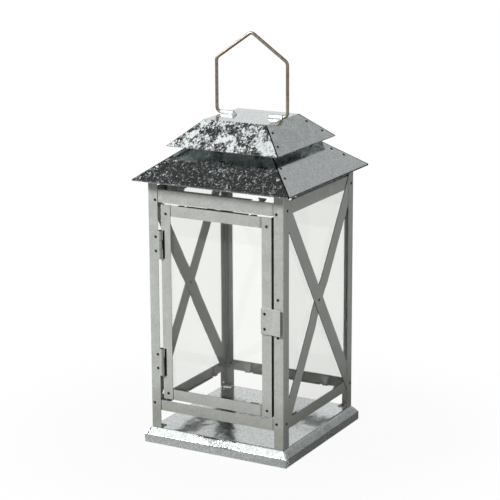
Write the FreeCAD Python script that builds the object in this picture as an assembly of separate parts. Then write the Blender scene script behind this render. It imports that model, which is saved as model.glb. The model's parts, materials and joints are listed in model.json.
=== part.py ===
import FreeCAD, Part
import math
import os

from FreeCAD import Placement, Rotation, Vector

# A candle lantern of folded galvanised sheet, in millimetres.
# The origin is the middle of the base's underside, +Z is up and the door faces -Y, hinged on its -X side.
# "Depth" is measured inwards from the outside of the posts. One side is drawn at the front and then turned.

# Corner posts
body_width = 130.0  # across the outside of the posts
post_flange = 9.2
post_sheet = 0.6
post_bend = 1.0  # outer radius of the folded corner
foot_length = 10.0
foot_width = 7.0
foot_hole_rise = 3.0  # small open hole above one foot
foot_hole_dia = 1.8

# Base, an upturned tray
base_overhang = 5.0  # beyond the posts
base_height = 13.6
base_skirt = 7.5  # upright part of the tray's side
base_margin = 0.2  # flat top beyond the posts
base_sheet = 0.6
base_hem = 5.0
base_seam = 0.3  # open mitre at each corner

# Rails between the posts
lower_rail_rise = 16.2  # above the base
lower_rail_height = 9.3
rail_spacing = 185.4  # between the lower edges of the lower and upper rails
upper_rail_height = 11.1
rail_sheet = 0.6
ledge_inset = 22.3  # from the post's edge to the ledge under a pane
finger_inset = 16.8  # from the post's edge to the middle of a finger
finger_neck = 5.0
finger_tip = 8.0
finger_height = 8.5
spare_finger_height = 2.0  # on the rails that hold no pane
spare_finger_shift = 4.0  # to the right, over the door
joggle_run = 1.5
joggle_gap = 0.3
corner_gap = 0.3  # between sheets that meet at a post

# Panes
glass = 2.0
glass_gap = 0.2  # beside a pane
glass_play = 0.4  # above a pane and at its corners

# Crossed braces of the two sides
brace_width = 13.3
brace_sheet = 0.6
brace_step = 8.0  # length of the step that carries one brace behind the other
outer_brace_shift = 1.5  # of the outer brace along its side

# Rivets
rivet_shank = 1.6
rivet_head = 2.6
rivet_head_height = 0.6
rivet_tail = 2.2
rivet_tail_height = 0.5
rivet_gap = 0.05
front_rivet_inset = 7.0  # from the post's corner
corner_rivet_inset = 3.1  # one rivet is set close to its corner
side_rivet_inset = 5.0
front_upper_rivet_rise = 1.8  # above the rail's lower edge
side_upper_rivet_rise = 4.2
lower_rivet_rise = 6.1
eyelet_dia = 3.2
eyelet_bore = 1.0

# Roof and cap
roof_overhang = 9.5  # beyond the posts
roof_rise = 8.6  # from the upper rails to the roof's edge
roof_opening = 72.0
roof_slope = 36.6  # degrees
cap_overhang = 16.9  # beyond the roof's opening
cap_drop = 1.5  # of the cap's edge below the roof's opening
cap_top = 59.2
cap_slope = 41.6  # degrees
roof_sheet = 0.5
hip_flange = 11.0
hip_flange_margin = 2.0
hip_setback = 1.2  # of a side panel from the hip
hip_rivet_inset = 6.0
roof_rivet_insets = (4.5, 12.5)  # inside the outside of the posts
cap_rivet_insets = (6.4, 16.4)  # inside the cap's edge
post_top_gap = 0.2
tab_gap = 0.4  # between a post's tab and the hip
eyelet_setback = 3.7  # from the inner point of a post's tab
strut_width = 10.0  # struts that carry the cap
strut_inset = 16.0  # from the opening's corner to a strut's middle
strut_foot = 5.0

# Handle
wire_dia = 2.8
handle_shoulder = 46.6  # above the pivot
handle_peak = 23.8  # above the shoulder
handle_foot_bend = 4.2
handle_shoulder_bend = 5.0
handle_apex_bend = 4.5
handle_stand_off = 0.4  # straight wire left outside each tunnel
handle_reach = 11.0  # of the wire into each tunnel
tunnel_gap = 0.08
tunnel_taper = 3.4
tunnel_sill = 2.0  # sheet left under the wire at the tunnel's mouth
tunnel_end_gap = 0.4
tunnel_tip_share = 0.25  # size of the tunnel's closed end beside its mouth

# Door
hinge_gap = 3.7
latch_gap = 2.0
door_gap_top = 1.6
door_gap_bottom = 2.3
door_proud = 0.5
door_sheet = 0.6
stile_width = 9.1
stile_return = 5.0
door_rail_height = 9.4
door_ledge_inset = 14.2  # from the stile's edge
door_finger_inset = 9.2
door_rivet_inset = 4.6
door_rivet_rise = 5.3  # above the door's lower edge
door_rivet_drop = 7.6  # below the door's upper edge

# Hinges
hinge_length = 24.0
lower_hinge_rise = 32.7  # from the door's lower edge to the hinge's middle
upper_hinge_drop = 35.0
leaf_sheet = 0.8
leaf_edge_gap = 1.8  # between a leaf's free edge and the side of the post
pin_dia = 2.2
pin_gap = 0.05
pin_head_dia = 3.4
pin_head_height = 0.5
knuckle_gap = 0.2
barrel_gap = 0.55  # between the barrel and the post
leaf_gap = 0.35  # between a leaf and the other leaf's knuckles
notch_reach = 2.9  # opening in the stile beside the barrel
notch_gap = 0.2
hinge_rivet_pitch = 12.4
hinge_rivet_inset = 2.2

# Latch plate and the magnet that holds it
plate_width = 18.7
plate_height = 22.5
plate_sheet = 1.0
plate_corner = 1.0  # radius
plate_drop = 2.5  # of its middle below the middle of the door
plate_overlap = 9.7  # of the plate on the stile
plate_rivet_inset = 3.6
plate_rivet_pitch = 13.1
magnet_width = 4.0
magnet_height = 14.0
magnet_depth = 4.4
magnet_gap = 0.2
catch_inset = 3.6  # from the post's edge
catch_head_gap = 0.5  # between the plate and the head of the rivet below it
catch_rivet_rise = 8.4  # of the upper rivet above the plate
strap_sheet = 0.6
strap_width = 5.4
strap_end = 3.0  # beyond a rivet

# Places that follow from the sizes above
diagonal = math.sqrt(0.5)
half = body_width / 2
base_half = half + base_overhang
base_top_half = half + base_margin
post_edge = half - post_flange
lower_rail_z = base_height + lower_rail_rise
upper_rail_z = lower_rail_z + rail_spacing
upper_rail_top = upper_rail_z + upper_rail_height
lower_rail_top = lower_rail_z + lower_rail_height
rail_half = half - post_sheet - rail_sheet - corner_gap
rail_back = post_sheet + rail_sheet
side_rail_front = post_sheet + brace_sheet
side_rail_back = side_rail_front + rail_sheet
side_pane_depth = side_rail_back + rivet_tail_height + glass_gap
rear_pane_depth = rail_back + rivet_tail_height + glass_gap
side_finger_depth = side_pane_depth + glass + glass_gap
rear_finger_depth = rear_pane_depth + glass + glass_gap
pane_half = half - side_finger_depth - rail_sheet - glass_play
side_rivet = half - side_rivet_inset
front_rivet = half - front_rivet_inset
lower_rivet_z = lower_rail_z + lower_rivet_rise
front_upper_rivet_z = upper_rail_z + front_upper_rivet_rise
side_upper_rivet_z = upper_rail_z + side_upper_rivet_rise
wire_radius = wire_dia / 2
tunnel_radius = wire_radius + tunnel_gap
barrel_radius = pin_dia / 2 + pin_gap + leaf_sheet
barrel_clear = barrel_radius + leaf_gap
hinge_x = -post_edge + barrel_radius + barrel_gap
hinge_y = -half + post_sheet + leaf_sheet - barrel_radius
leaf_reach = hinge_x - barrel_clear + half - post_sheet - leaf_edge_gap
door_left = -post_edge + hinge_gap
door_right = post_edge - latch_gap
door_middle = (door_left + door_right) / 2
door_bottom = lower_rail_top + door_gap_bottom
door_top = upper_rail_z - door_gap_top
door_half = (door_right - door_left) / 2
door_rail_half = door_half - door_sheet - corner_gap
stile_edge = door_half - stile_width
hinge_middles = {"lower": door_bottom + lower_hinge_rise, "upper": door_top - upper_hinge_drop}
door_pane_depth = 2 * door_sheet - door_proud + rivet_tail_height + glass_gap
door_finger_depth = door_pane_depth + glass + glass_gap


def box(x0, x1, y0, y1, z0, z1):
    return Part.makeBox(x1 - x0, y1 - y0, z1 - z0, Vector(x0, y0, z0))


def prism(corners, move):
    outline = Part.makePolygon(corners + corners[:1])
    return Part.Face(outline).extrude(move)


def plan_prism(corners, z0, z1):
    return prism([Vector(x, y, z0) for x, y in corners], Vector(0, 0, z1 - z0))


def join(shapes):
    return shapes[0].fuse(shapes[1:]).removeSplitter()


def turned(shape, angle):
    copy = shape.copy()
    copy.rotate(Vector(0, 0, 0), Vector(0, 0, 1), angle)
    return copy


def save(node, shape):
    shape.exportStep("parts/" + node + ".step")


class Rivet:
    # A domed rivet whose head sits at a point, facing a direction, with its tail past the sheets.
    def __init__(self, place, facing, grip, hollow=False):
        self.place = Vector(*place)
        self.facing = Vector(*facing)
        self.grip = grip
        self.hollow = hollow

    def turned(self, angle):
        turn = Rotation(Vector(0, 0, 1), angle)
        return Rivet(turn.multVec(self.place), turn.multVec(self.facing), self.grip, self.hollow)

    def seat(self, shape):
        shape.Placement = Placement(self.place, Rotation(Vector(0, 0, 1), self.facing))
        return shape

    def solid(self):
        bore = eyelet_bore / 2 if self.hollow else 0.0
        rim = (eyelet_dia if self.hollow else rivet_head) / 2
        shank = rivet_shank / 2
        tail = rivet_tail / 2
        reach = self.grip + rivet_tail_height
        outline = [(rim, 0), (shank, 0), (shank, -self.grip), (tail, -self.grip), (tail, -reach), (bore, -reach)]
        points = [Vector(x, 0, z) for x, z in outline]
        crown = Vector(bore, 0, rivet_head_height)
        on_dome = Vector(bore + (rim - bore) * diagonal, 0, rivet_head_height * diagonal)
        edges = [Part.Arc(crown, on_dome, points[0]).toShape()]
        edges += [Part.makeLine(a, b) for a, b in zip(points, points[1:] + [crown])]
        face = Part.Face(Part.Wire(edges))
        return self.seat(face.revolve(Vector(0, 0, 0), Vector(0, 0, 1), 360))

    def hole(self):
        reach = self.grip + rivet_tail_height
        return self.seat(Part.makeCylinder(rivet_shank / 2 + rivet_gap, reach, Vector(0, 0, -reach)))


def drilled(shape, rivets):
    return shape.cut([rivet.hole() for rivet in rivets])


def save_rivets(node, rivets):
    save(node, Part.makeCompound([rivet.solid() for rivet in rivets]))


def stepped_strip(run, front, step_at, step_run, step, sheet, z0, z1):
    # A strip seen from above, with both ends stepped inwards by one step.
    outer = [(-run, front + step), (-step_at, front + step), (-step_at + step_run, front)]
    outer += [(-x, y) for x, y in reversed(outer)]
    inner = [(x, y + sheet) for x, y in reversed(outer)]
    return plan_prism(outer + inner, z0, z1)


def rail(web, sheet, front, ledge_z, ledge_half, fingers, finger_back, finger_rise):
    # A web with a ledge for a pane and two fingers that fold over the pane's edge, up or down.
    back = -half + finger_back
    top = ledge_z + sheet
    pieces = [web, box(-ledge_half, ledge_half, front, back + sheet, ledge_z, top)]
    root, tip = (ledge_z, top + finger_rise) if finger_rise > 0 else (top, ledge_z + finger_rise)
    neck = finger_neck / 2
    fan = finger_tip / 2
    for middle in fingers:
        pieces.append(box(middle - neck, middle + neck, front, back + sheet, ledge_z, top))
        corners = [(-neck, root), (neck, root), (fan, tip), (-fan, tip)]
        pieces.append(prism([Vector(middle + x, back, z) for x, z in corners], Vector(0, sheet, 0)))
    return join(pieces)


def body_rail(upper, braced, finger_back, finger_rise, finger_shift):
    # A braced rail is flat and lies behind the braces. The others step behind the posts at their ends.
    z0 = upper_rail_z if upper else lower_rail_z
    z1 = upper_rail_top if upper else lower_rail_top
    ledge_z = z1 - rail_sheet if upper else z0
    front = -half
    web = stepped_strip(rail_half, front, post_edge - joggle_gap, joggle_run, post_sheet, rail_sheet, z0, z1)
    if braced:
        front = -half + side_rail_front
        web = box(-rail_half, rail_half, front, front + rail_sheet, z0, z1)
    ledge_half = post_edge - ledge_inset
    finger_at = post_edge - finger_inset
    fingers = (finger_shift - finger_at, finger_shift + finger_at)
    return rail(web, rail_sheet, front, ledge_z, ledge_half, fingers, finger_back, finger_rise)


class Tier:
    # One storey of the roof: four equal slopes that meet at the hips, with its eave and opening as half widths.
    def __init__(self, eave, eave_z, opening, slope):
        self.eave = eave
        self.eave_z = eave_z
        self.opening = opening
        self.tan = math.tan(math.radians(slope))
        self.cos = math.cos(math.radians(slope))
        self.sin = math.sin(math.radians(slope))

    def height(self, reach, depth=0.0):
        return self.eave_z + (self.eave - reach) * self.tan - depth / self.cos

    def slab(self, upper, lower, plan):
        # The front slope between two depths below its outer face, over an outline in plan.
        far = self.eave
        corners = [(far, upper), (0, upper), (0, lower), (far, lower)]
        section = [Vector(-2 * far, -reach, self.height(reach, depth)) for reach, depth in corners]
        layer = prism(section, Vector(4 * far, 0, 0))
        return layer.common(plan_prism(plan, self.eave_z - far, self.eave_z + 2 * far))

    def panel(self, sheet, setback=0.0):
        low = self.eave - setback
        high = self.opening - setback
        corners = [(-low, -self.eave), (low, -self.eave), (high, -self.opening), (-high, -self.opening)]
        return self.slab(0.0, sheet, corners)

    def flange(self, sheet, end):
        # The strip of a front panel that is folded under the next slope. end is -1 or +1 along that slope.
        low = self.eave - hip_flange_margin
        high = self.opening + hip_flange_margin
        fold = sheet / self.sin
        corners = [(low + fold, low), (low - hip_flange, low), (high - hip_flange, high), (high + fold, high)]
        return self.slab(sheet, 2 * sheet, [(end * x, -y) for x, y in corners])

    def folded_panel(self, sheet):
        right = turned(self.flange(sheet, -1), 90)
        left = turned(self.flange(sheet, 1), -90)
        return join([self.panel(sheet), right, left])

    def rivet(self, reach, along, grip, hollow=False):
        place = (along, -reach, self.height(reach))
        return Rivet(place, (0, -self.sin, self.cos), grip, hollow)

    def hip_rivets(self, reaches, grip):
        rivets = []
        for reach in reaches:
            along = reach - hip_rivet_inset
            rivets += [self.rivet(reach, side * along, grip) for side in (-1, 1)]
        return [rivet.turned(angle) for angle in (90, -90) for rivet in rivets]


roof = Tier(half + roof_overhang, upper_rail_top + roof_rise, roof_opening / 2, roof_slope)
roof_top_z = roof.height(roof.opening)
cap = Tier(roof.opening + cap_overhang, roof_top_z - cap_drop, cap_top / 2, cap_slope)
cap_top_z = cap.height(cap.opening)
pivot_z = cap_top_z + tunnel_radius
handle_tip = cap.opening - handle_reach
brace_middle = (side_upper_rivet_z + lower_rivet_z) / 2
tab_hip_gap = roof_sheet / roof.sin + tab_gap

# Where the rivets go
front_places = [
    (corner_rivet_inset - half, lower_rivet_z), (front_rivet, lower_rivet_z),
    (-front_rivet, front_upper_rivet_z), (front_rivet, front_upper_rivet_z),
]
brace_ends = [
    (-side_rivet, lower_rivet_z), (side_rivet, side_upper_rivet_z),
    (outer_brace_shift + side_rivet, lower_rivet_z), (outer_brace_shift - side_rivet, side_upper_rivet_z),
]
front_rivets = [Rivet((x, -half, z), (0, -1, 0), rail_back) for x, z in front_places]
side_rivets = [Rivet((x, -half, z), (0, -1, 0), side_rail_back) for x, z in brace_ends]
frame_rivets = [rivet.turned(angle) for angle in (0, 180) for rivet in front_rivets]
frame_rivets += [rivet.turned(angle) for angle in (90, -90) for rivet in side_rivets]

brace_rise = side_upper_rivet_z - lower_rivet_z
crossing_x = outer_brace_shift / 2
crossing_z = brace_middle + crossing_x * brace_rise / (2 * side_rivet)
cross_rivet = Rivet((crossing_x, -half + post_sheet, crossing_z), (0, -1, 0), 2 * brace_sheet)
cross_rivets = [cross_rivet.turned(angle) for angle in (90, -90)]

foot_rivet_x = half - foot_length + foot_width / 2
foot_y = half - post_flange / 2
foot_rivets = []
for x in (-foot_rivet_x, foot_rivet_x):
    for y in (-foot_y, foot_y):
        place = (x, y, base_height + post_sheet)
        foot_rivets.append(Rivet(place, (0, 0, 1), post_sheet + base_sheet))

eyelet_x = post_edge + eyelet_setback / 2
eyelet_y = post_edge + tab_hip_gap + eyelet_setback
roof_eyelets = []
for side in (-1, 1):
    roof_eyelets.append(roof.rivet(eyelet_y, side * eyelet_x, roof_sheet + post_sheet, True))
roof_eyelets += [rivet.turned(180) for rivet in roof_eyelets]
roof_hip_rivets = roof.hip_rivets([half - inset for inset in roof_rivet_insets], 2 * roof_sheet)
cap_hip_rivets = cap.hip_rivets([cap.eave - inset for inset in cap_rivet_insets], 2 * roof_sheet)

hinge_rivet_x = -post_edge - hinge_rivet_inset
hinge_rivets = []
for middle in hinge_middles.values():
    for rise in (-hinge_rivet_pitch / 2, hinge_rivet_pitch / 2):
        place = (hinge_rivet_x, -half, middle + rise)
        hinge_rivets.append(Rivet(place, (0, -1, 0), post_sheet + leaf_sheet))

plate_left = door_right - plate_overlap
plate_middle_z = (door_bottom + door_top) / 2 - plate_drop
plate_bottom = plate_middle_z - plate_height / 2
plate_top = plate_middle_z + plate_height / 2
door_face = -half - door_proud
plate_rivets = []
for rise in (-plate_rivet_pitch / 2, plate_rivet_pitch / 2):
    place = (plate_left + plate_rivet_inset, door_face - plate_sheet, plate_middle_z + rise)
    plate_rivets.append(Rivet(place, (0, -1, 0), plate_sheet + door_sheet))

door_rivets = []
for x in (door_left + door_rivet_inset, door_right - door_rivet_inset):
    for z in (door_bottom + door_rivet_rise, door_top - door_rivet_drop):
        door_rivets.append(Rivet((x, door_face, z), (0, -1, 0), 2 * door_sheet))

catch_x = post_edge + catch_inset
catch_low = plate_bottom - catch_head_gap - rivet_head / 2
catch_high = plate_top + catch_rivet_rise
catch_middle_z = (catch_low + catch_high) / 2
strap_half = (catch_high - catch_low) / 2 + strap_end
strap_rivets = []
for z in (catch_low, catch_high):
    strap_rivets.append(Rivet((catch_x, -half, z), (0, -1, 0), post_sheet + strap_sheet))


def square_block(levels):
    # A block of stacked square pyramid slices, from (half width, height) pairs.
    faces = []
    rings = [[Vector(a, b, z) for a, b in ((-h, -h), (h, -h), (h, h), (-h, h))] for h, z in levels]
    for low, high in zip(rings, rings[1:]):
        for i in range(4):
            j = (i + 1) % 4
            faces.append(Part.Face(Part.makePolygon([low[i], low[j], high[j], high[i], low[i]])))
    for ring in (rings[0], rings[-1]):
        faces.append(Part.Face(Part.makePolygon(ring + ring[:1])))
    block = Part.Solid(Part.Shell(faces))
    block.fixTolerance(1e-7)
    if block.Volume < 0:
        block.reverse()
    return block


def make_base():
    bevel = math.atan2(base_height - base_skirt, base_half - base_top_half)
    lower_shift = base_sheet * math.tan((math.pi / 2 - bevel) / 2)
    upper_shift = base_sheet * math.tan(bevel / 2)
    outer = square_block([(base_half, 0), (base_half, base_skirt), (base_top_half, base_height)])
    inner = square_block([
        (base_half - base_sheet, 0),
        (base_half - base_sheet, base_skirt - lower_shift),
        (base_top_half - upper_shift, base_height - base_sheet),
    ])
    hem = box(-base_half, base_half, -base_half, base_half, 0, base_sheet)
    mouth = base_half - base_sheet - base_hem
    hem = hem.cut(box(-mouth, mouth, -mouth, mouth, 0, base_sheet))
    tray = join([outer.cut(inner), hem])
    start = base_top_half / diagonal
    seam = box(start, 2 * base_half, -base_seam / 2, base_seam / 2, 0, base_height)
    mouth_seam = box(mouth, start, -base_seam / 2, base_seam / 2, 0, base_sheet)
    seams = [turned(cut, angle) for cut in (seam, mouth_seam) for angle in (45, 135, 225, 315)]
    return drilled(tray.cut(seams), foot_rivets)


def make_post():
    # The front left post. Its side flange has the foot and its front flange has the tab under the roof.
    top = roof.height(half, 2 * roof_sheet) - post_top_gap
    outer = post_bend
    inner = post_bend - post_sheet
    mid = 1 - diagonal
    corner = Vector(-half, -half, base_height)
    inside = corner + Vector(post_sheet, post_sheet, 0)
    ends = [
        corner + Vector(post_flange, 0, 0), corner + Vector(outer, 0, 0),
        corner + Vector(0, outer, 0), corner + Vector(0, post_flange, 0),
        inside + Vector(0, post_flange - post_sheet, 0), inside + Vector(0, inner, 0),
        inside + Vector(inner, 0, 0), inside + Vector(post_flange - post_sheet, 0, 0),
    ]
    outer_mid = corner + Vector(outer * mid, outer * mid, 0)
    inner_mid = inside + Vector(inner * mid, inner * mid, 0)
    edges = [
        Part.makeLine(ends[0], ends[1]), Part.Arc(ends[1], outer_mid, ends[2]).toShape(),
        Part.makeLine(ends[2], ends[3]), Part.makeLine(ends[3], ends[4]),
        Part.makeLine(ends[4], ends[5]), Part.Arc(ends[5], inner_mid, ends[6]).toShape(),
        Part.makeLine(ends[6], ends[7]), Part.makeLine(ends[7], ends[0]),
    ]
    angle = Part.Face(Part.Wire(edges)).extrude(Vector(0, 0, top - base_height))
    foot = box(-half + post_sheet / 2, -half + foot_length, -foot_y - foot_width / 2, -foot_y + foot_width / 2,
               base_height, base_height + post_sheet)
    tab_plan = [(-half + tab_hip_gap, -half), (-post_edge, -half), (-post_edge, -post_edge - tab_hip_gap)]
    tab = roof.slab(roof_sheet, roof_sheet + post_sheet, tab_plan)
    neck_section = [
        (-half, top), (-half + post_sheet, top),
        (-half + post_sheet, roof.height(half - post_sheet, roof_sheet)), (-half, roof.height(half, roof_sheet)),
    ]
    neck_start = -half + tab_hip_gap + post_sheet
    neck = prism([Vector(neck_start, y, z) for y, z in neck_section], Vector(-post_edge - neck_start, 0, 0))
    return join([angle, foot, tab, neck])


def make_posts():
    pattern = make_post()
    across_x = pattern.mirror(Vector(0, 0, 0), Vector(1, 0, 0))
    posts = {
        "post_front_left": pattern,
        "post_front_right": across_x,
        "post_rear_left": pattern.mirror(Vector(0, 0, 0), Vector(0, 1, 0)),
        "post_rear_right": across_x.mirror(Vector(0, 0, 0), Vector(0, 1, 0)),
    }
    shared = frame_rivets + foot_rivets + roof_eyelets
    for node, post in posts.items():
        posts[node] = drilled(post, shared)
    posts["post_front_left"] = drilled(posts["post_front_left"], hinge_rivets)
    window_half = magnet_width / 2 + magnet_gap
    window_rise = magnet_height / 2 + magnet_gap
    window = box(catch_x - window_half, catch_x + window_half, -half, -half + post_sheet,
                 catch_middle_z - window_rise, catch_middle_z + window_rise)
    posts["post_front_right"] = drilled(posts["post_front_right"].cut(window), strap_rivets)
    hole_place = Vector(-half, foot_y, base_height + foot_hole_rise)
    hole = Part.makeCylinder(foot_hole_dia / 2, post_sheet, hole_place, Vector(1, 0, 0))
    posts["post_rear_left"] = posts["post_rear_left"].cut(hole)
    return posts


def make_rails():
    sides = {
        "front": (0, False, rear_finger_depth, spare_finger_height, spare_finger_height, spare_finger_shift),
        "right": (90, True, side_finger_depth, finger_height, -finger_height, 0.0),
        "rear": (180, False, rear_finger_depth, finger_height, -finger_height, 0.0),
        "left": (-90, True, side_finger_depth, finger_height, -finger_height, 0.0),
    }
    rails = {}
    for side, (angle, braced, finger_back, lower_rise, upper_rise, shift) in sides.items():
        lower = turned(body_rail(False, braced, finger_back, lower_rise, 0.0), angle)
        upper = turned(body_rail(True, braced, finger_back, upper_rise, shift), angle)
        rails["rail_" + side + "_lower"] = drilled(lower, frame_rivets)
        rails["rail_" + side + "_upper"] = drilled(upper, frame_rivets)
    return rails


def make_braces():
    length = math.hypot(brace_rise, 2 * side_rivet)
    lean = math.atan2(brace_rise, 2 * side_rivet)
    crossing = math.pi - 2 * lean
    flat = brace_width / 2 * (1 + math.cos(crossing)) / math.sin(crossing) + brace_sheet + outer_brace_shift
    run = length / 2 + brace_width
    inner_front = post_sheet + brace_sheet
    outer = box(-run, run, post_sheet, inner_front, -brace_width / 2, brace_width / 2)
    inner = stepped_strip(run, inner_front, flat + brace_step, brace_step, -brace_sheet, brace_sheet,
                          -brace_width / 2, brace_width / 2)
    limit = box(-rail_half, rail_half, -half, 0, lower_rail_z + corner_gap, upper_rail_top - corner_gap)
    braces = {}
    for layer, strip, tilt, shift in (("outer", outer, 1, outer_brace_shift), ("inner", inner, -1, 0.0)):
        strip.rotate(Vector(0, 0, 0), Vector(0, 1, 0), tilt * math.degrees(lean))
        strip.translate(Vector(shift, -half, brace_middle))
        strip = strip.common(limit)
        for side, angle in (("right", 90), ("left", -90)):
            braces["brace_" + side + "_" + layer] = drilled(turned(strip, angle), frame_rivets + cross_rivets)
    return braces


def pane(depth, left, right, z0, z1):
    return box(left, right, -half + depth, -half + depth + glass, z0, z1)


def make_panes():
    bottom = lower_rail_z + rail_sheet
    top = upper_rail_top - rail_sheet - glass_play
    side_pane = pane(side_pane_depth, -pane_half, pane_half, bottom, top)
    rear_pane = pane(rear_pane_depth, -pane_half, pane_half, bottom, top)
    return {
        "glass_right": turned(side_pane, 90),
        "glass_left": turned(side_pane, -90),
        "glass_rear": turned(rear_pane, 180),
    }


def make_roof():
    front = roof.folded_panel(roof_sheet)
    bottom_z = roof.height(roof.opening, roof_sheet)
    edge = -roof.opening
    foot_end = roof.opening + strut_foot
    upright = [
        (edge, bottom_z), (edge + roof_sheet, bottom_z),
        (edge + roof_sheet, cap.height(roof.opening - roof_sheet, roof_sheet)),
        (edge, cap.height(roof.opening, roof_sheet)),
    ]
    foot = [
        (edge, cap.height(roof.opening, roof_sheet)), (-foot_end, cap.height(foot_end, roof_sheet)),
        (-foot_end, cap.height(foot_end, 2 * roof_sheet)), (edge, cap.height(roof.opening, 2 * roof_sheet)),
    ]
    pieces = [front]
    strut_at = roof.opening - strut_inset
    for middle in (-strut_at, strut_at):
        for section in (upright, foot):
            corners = [Vector(middle - strut_width / 2, y, z) for y, z in section]
            pieces.append(prism(corners, Vector(strut_width, 0, 0)))
    front = join(pieces)
    side = roof.panel(roof_sheet, hip_setback)
    shared = roof_hip_rivets + roof_eyelets
    return {
        "roof_front": drilled(front, shared),
        "roof_rear": drilled(turned(front, 180), shared),
        "roof_right": drilled(turned(side, 90), roof_hip_rivets),
        "roof_left": drilled(turned(side, -90), roof_hip_rivets),
    }


def tunnel_section(x, radius, share):
    # An arch that stands on the cap's top, as a closed outline across X.
    size = radius * share
    spring = cap_top_z + tunnel_radius * share
    left = Vector(x, -size, spring)
    right = Vector(x, size, spring)
    left_foot = Vector(x, -size, cap_top_z)
    right_foot = Vector(x, size, cap_top_z)
    arch = Part.Arc(left, Vector(x, 0, spring + size), right).toShape()
    lines = [Part.makeLine(right, right_foot), Part.makeLine(right_foot, left_foot)]
    return Part.Wire([arch] + lines + [Part.makeLine(left_foot, left)])


def tunnel(radius, mouth, shoulder, end):
    straight = Part.Face(tunnel_section(shoulder, radius, 1)).extrude(Vector(mouth - shoulder, 0, 0))
    sections = [tunnel_section(shoulder, radius, 1), tunnel_section(end, radius, tunnel_tip_share)]
    return join([straight, Part.makeLoft(sections, True, True)])


def make_cap():
    front = cap.folded_panel(roof_sheet)
    plate = box(-cap.opening, cap.opening, -cap.opening, cap.opening, cap_top_z - roof_sheet, cap_top_z)
    above = box(-cap.eave, cap.eave, -cap.eave, cap.eave, cap_top_z, cap_top_z + cap.eave)
    crown = join([front, turned(front, 180), plate]).cut(above)
    shoulder = handle_tip - tunnel_end_gap
    end = shoulder - tunnel_taper
    outside = tunnel(tunnel_radius + roof_sheet, cap.opening, shoulder, end)
    inside = tunnel(tunnel_radius, cap.opening, shoulder, end + roof_sheet)
    slot = box(shoulder, cap.opening - tunnel_sill, -tunnel_radius, tunnel_radius,
               cap_top_z - 2 * roof_sheet, cap_top_z)
    hollow = join([inside, slot])
    crown = join([crown, outside, turned(outside, 180)]).cut([hollow, turned(hollow, 180)])
    side = cap.panel(roof_sheet, hip_setback).cut(plate)
    return {
        "cap_crown": drilled(crown, cap_hip_rivets),
        "cap_right": drilled(turned(side, 90), cap_hip_rivets),
        "cap_left": drilled(turned(side, -90), cap_hip_rivets),
    }


def rounded_path(points, radii):
    # Straight runs joined by tangent arcs, one radius for each inner point.
    edges = []
    start = points[0]
    for before, point, after, radius in zip(points, points[1:], points[2:], radii):
        to_before = (before - point).normalize()
        to_after = (after - point).normalize()
        half_turn = to_before.getAngle(to_after) / 2
        setback = radius / math.tan(half_turn)
        arc_in = point + to_before * setback
        arc_out = point + to_after * setback
        bisector = (to_before + to_after).normalize()
        arc_mid = point + bisector * (radius / math.sin(half_turn) - radius)
        edges.append(Part.makeLine(start, arc_in))
        edges.append(Part.Arc(arc_in, arc_mid, arc_out).toShape())
        start = arc_out
    edges.append(Part.makeLine(start, points[-1]))
    return Part.Wire(edges)


def make_handle():
    leg = cap.opening + handle_stand_off + handle_foot_bend
    right = [(handle_tip, 0), (leg, 0), (leg, handle_shoulder)]
    outline = right + [(0, handle_shoulder + handle_peak)] + [(-x, z) for x, z in reversed(right)]
    points = [Vector(x, 0, pivot_z + z) for x, z in outline]
    radii = [handle_foot_bend, handle_shoulder_bend, handle_apex_bend, handle_shoulder_bend, handle_foot_bend]
    section = Part.Wire(Part.makeCircle(wire_radius, points[0], Vector(1, 0, 0)))
    return rounded_path(points, radii).makePipeShell([section], True, False)


def make_stile(outer_edge, inward):
    # inward is +1 for the hinge side and -1 for the latch side.
    edges = sorted((outer_edge, outer_edge + inward * stile_width))
    lip = sorted((outer_edge, outer_edge + inward * door_sheet))
    face = box(edges[0], edges[1], door_face, door_face + door_sheet, door_bottom, door_top)
    back = box(lip[0], lip[1], door_face, door_face + stile_return, door_bottom, door_top)
    return join([face, back])


def make_door():
    hinge_stile = make_stile(door_left, 1)
    notch_half = hinge_length / 2 + pin_head_height + notch_gap
    for middle in hinge_middles.values():
        notch = box(door_left, hinge_x + barrel_radius + notch_reach, door_face, door_face + stile_return,
                    middle - notch_half, middle + notch_half)
        hinge_stile = hinge_stile.cut(notch)
    latch_stile = make_stile(door_right, -1)
    pieces = {"door_stile_hinge_side": hinge_stile, "door_stile_latch_side": drilled(latch_stile, plate_rivets)}
    ledge_half = stile_edge - door_ledge_inset
    finger_at = stile_edge - door_finger_inset
    fingers = (-finger_at, finger_at)
    levels = {
        "door_rail_bottom": (door_bottom, door_bottom, finger_height),
        "door_rail_top": (door_top - door_rail_height, door_top - door_sheet, -finger_height),
    }
    for node, (z0, ledge_z, finger_rise) in levels.items():
        web = stepped_strip(door_rail_half, door_face, stile_edge - joggle_gap, joggle_run,
                            door_sheet, door_sheet, z0, z0 + door_rail_height)
        piece = rail(web, door_sheet, door_face, ledge_z, ledge_half, fingers, door_finger_depth, finger_rise)
        pieces[node] = piece.translated(Vector(door_middle, 0, 0))
    for node, piece in pieces.items():
        pieces[node] = drilled(piece, door_rivets)
    inset = door_sheet + glass_play
    pieces["door_glass"] = pane(door_pane_depth, door_left + inset, door_right - inset,
                                door_bottom + door_sheet, door_top - door_sheet - glass_play)
    plate = box(plate_left, plate_left + plate_width, door_face - plate_sheet, door_face, plate_bottom, plate_top)
    corners = [edge for edge in plate.Edges if abs(edge.tangentAt(edge.FirstParameter).y) > 0.5]
    pieces["latch_plate"] = drilled(plate.makeFillet(plate_corner, corners), plate_rivets)
    return pieces


def knuckle(z0, z1):
    return Part.makeCylinder(barrel_radius, z1 - z0, Vector(hinge_x, hinge_y, z0))


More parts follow.
